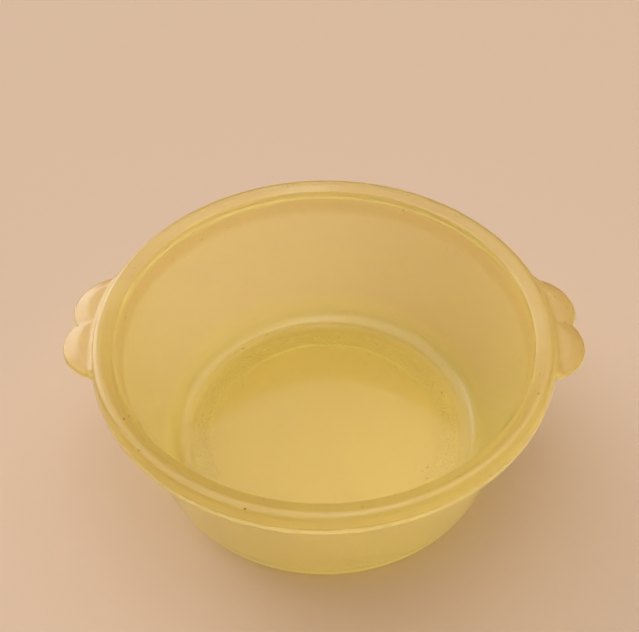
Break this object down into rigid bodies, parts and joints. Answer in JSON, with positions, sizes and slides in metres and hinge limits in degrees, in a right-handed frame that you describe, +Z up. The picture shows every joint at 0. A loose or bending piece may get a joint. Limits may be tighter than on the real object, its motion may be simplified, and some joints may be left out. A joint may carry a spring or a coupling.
{
  "type": "round glass baking dish",
  "caption": "Round tapered dish of thick translucent yellow glass with a collared rim, a rounded heel and a two-lobed tab handle on each side.",
  "frame": {"origin": "centre of the foot ring on the table plane", "axes": "+Z up along the dish's axis, +X towards the right handle, the handles lie on the X axis"},
  "size_m": [0.202, 0.1814, 0.0754],
  "materials": {
    "yellow_glass": "thick pressed glass, pale yellow all through, translucent with a satin surface and slightly wavy mould-pressed faces"
  },
  "bodies": {
    "root": {"floor": "yellow_glass", "foot_ring": "yellow_glass", "heel": "yellow_glass", "wall": "yellow_glass", "rim_band": "yellow_glass", "left_handle": "yellow_glass", "right_handle": "yellow_glass"}
  },
  "joints": []
}
